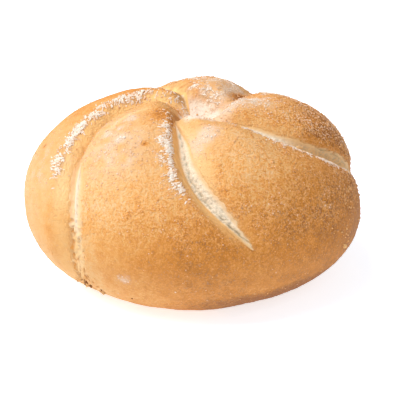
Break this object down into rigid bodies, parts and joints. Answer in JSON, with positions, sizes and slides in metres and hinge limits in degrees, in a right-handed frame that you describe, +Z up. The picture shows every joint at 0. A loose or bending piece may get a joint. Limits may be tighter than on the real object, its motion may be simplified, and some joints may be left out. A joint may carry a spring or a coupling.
{
  "type": "kaiser bread roll",
  "caption": "Round white bread roll with lobes that swirl out of a pressed hub, pale split creases, a floured golden crust and a flat base.",
  "frame": {"origin": "middle of the flat base, on the surface that the roll stands on", "axes": "+Z up through the crown; -Y towards the side with the longest open crease"},
  "size_m": [0.109, 0.1074, 0.0568],
  "materials": {
    "crust": "matte",
    "crumb": "matte",
    "flour": "matte"
  },
  "bodies": {
    "root": {"bread_roll": "crust"}
  },
  "joints": []
}
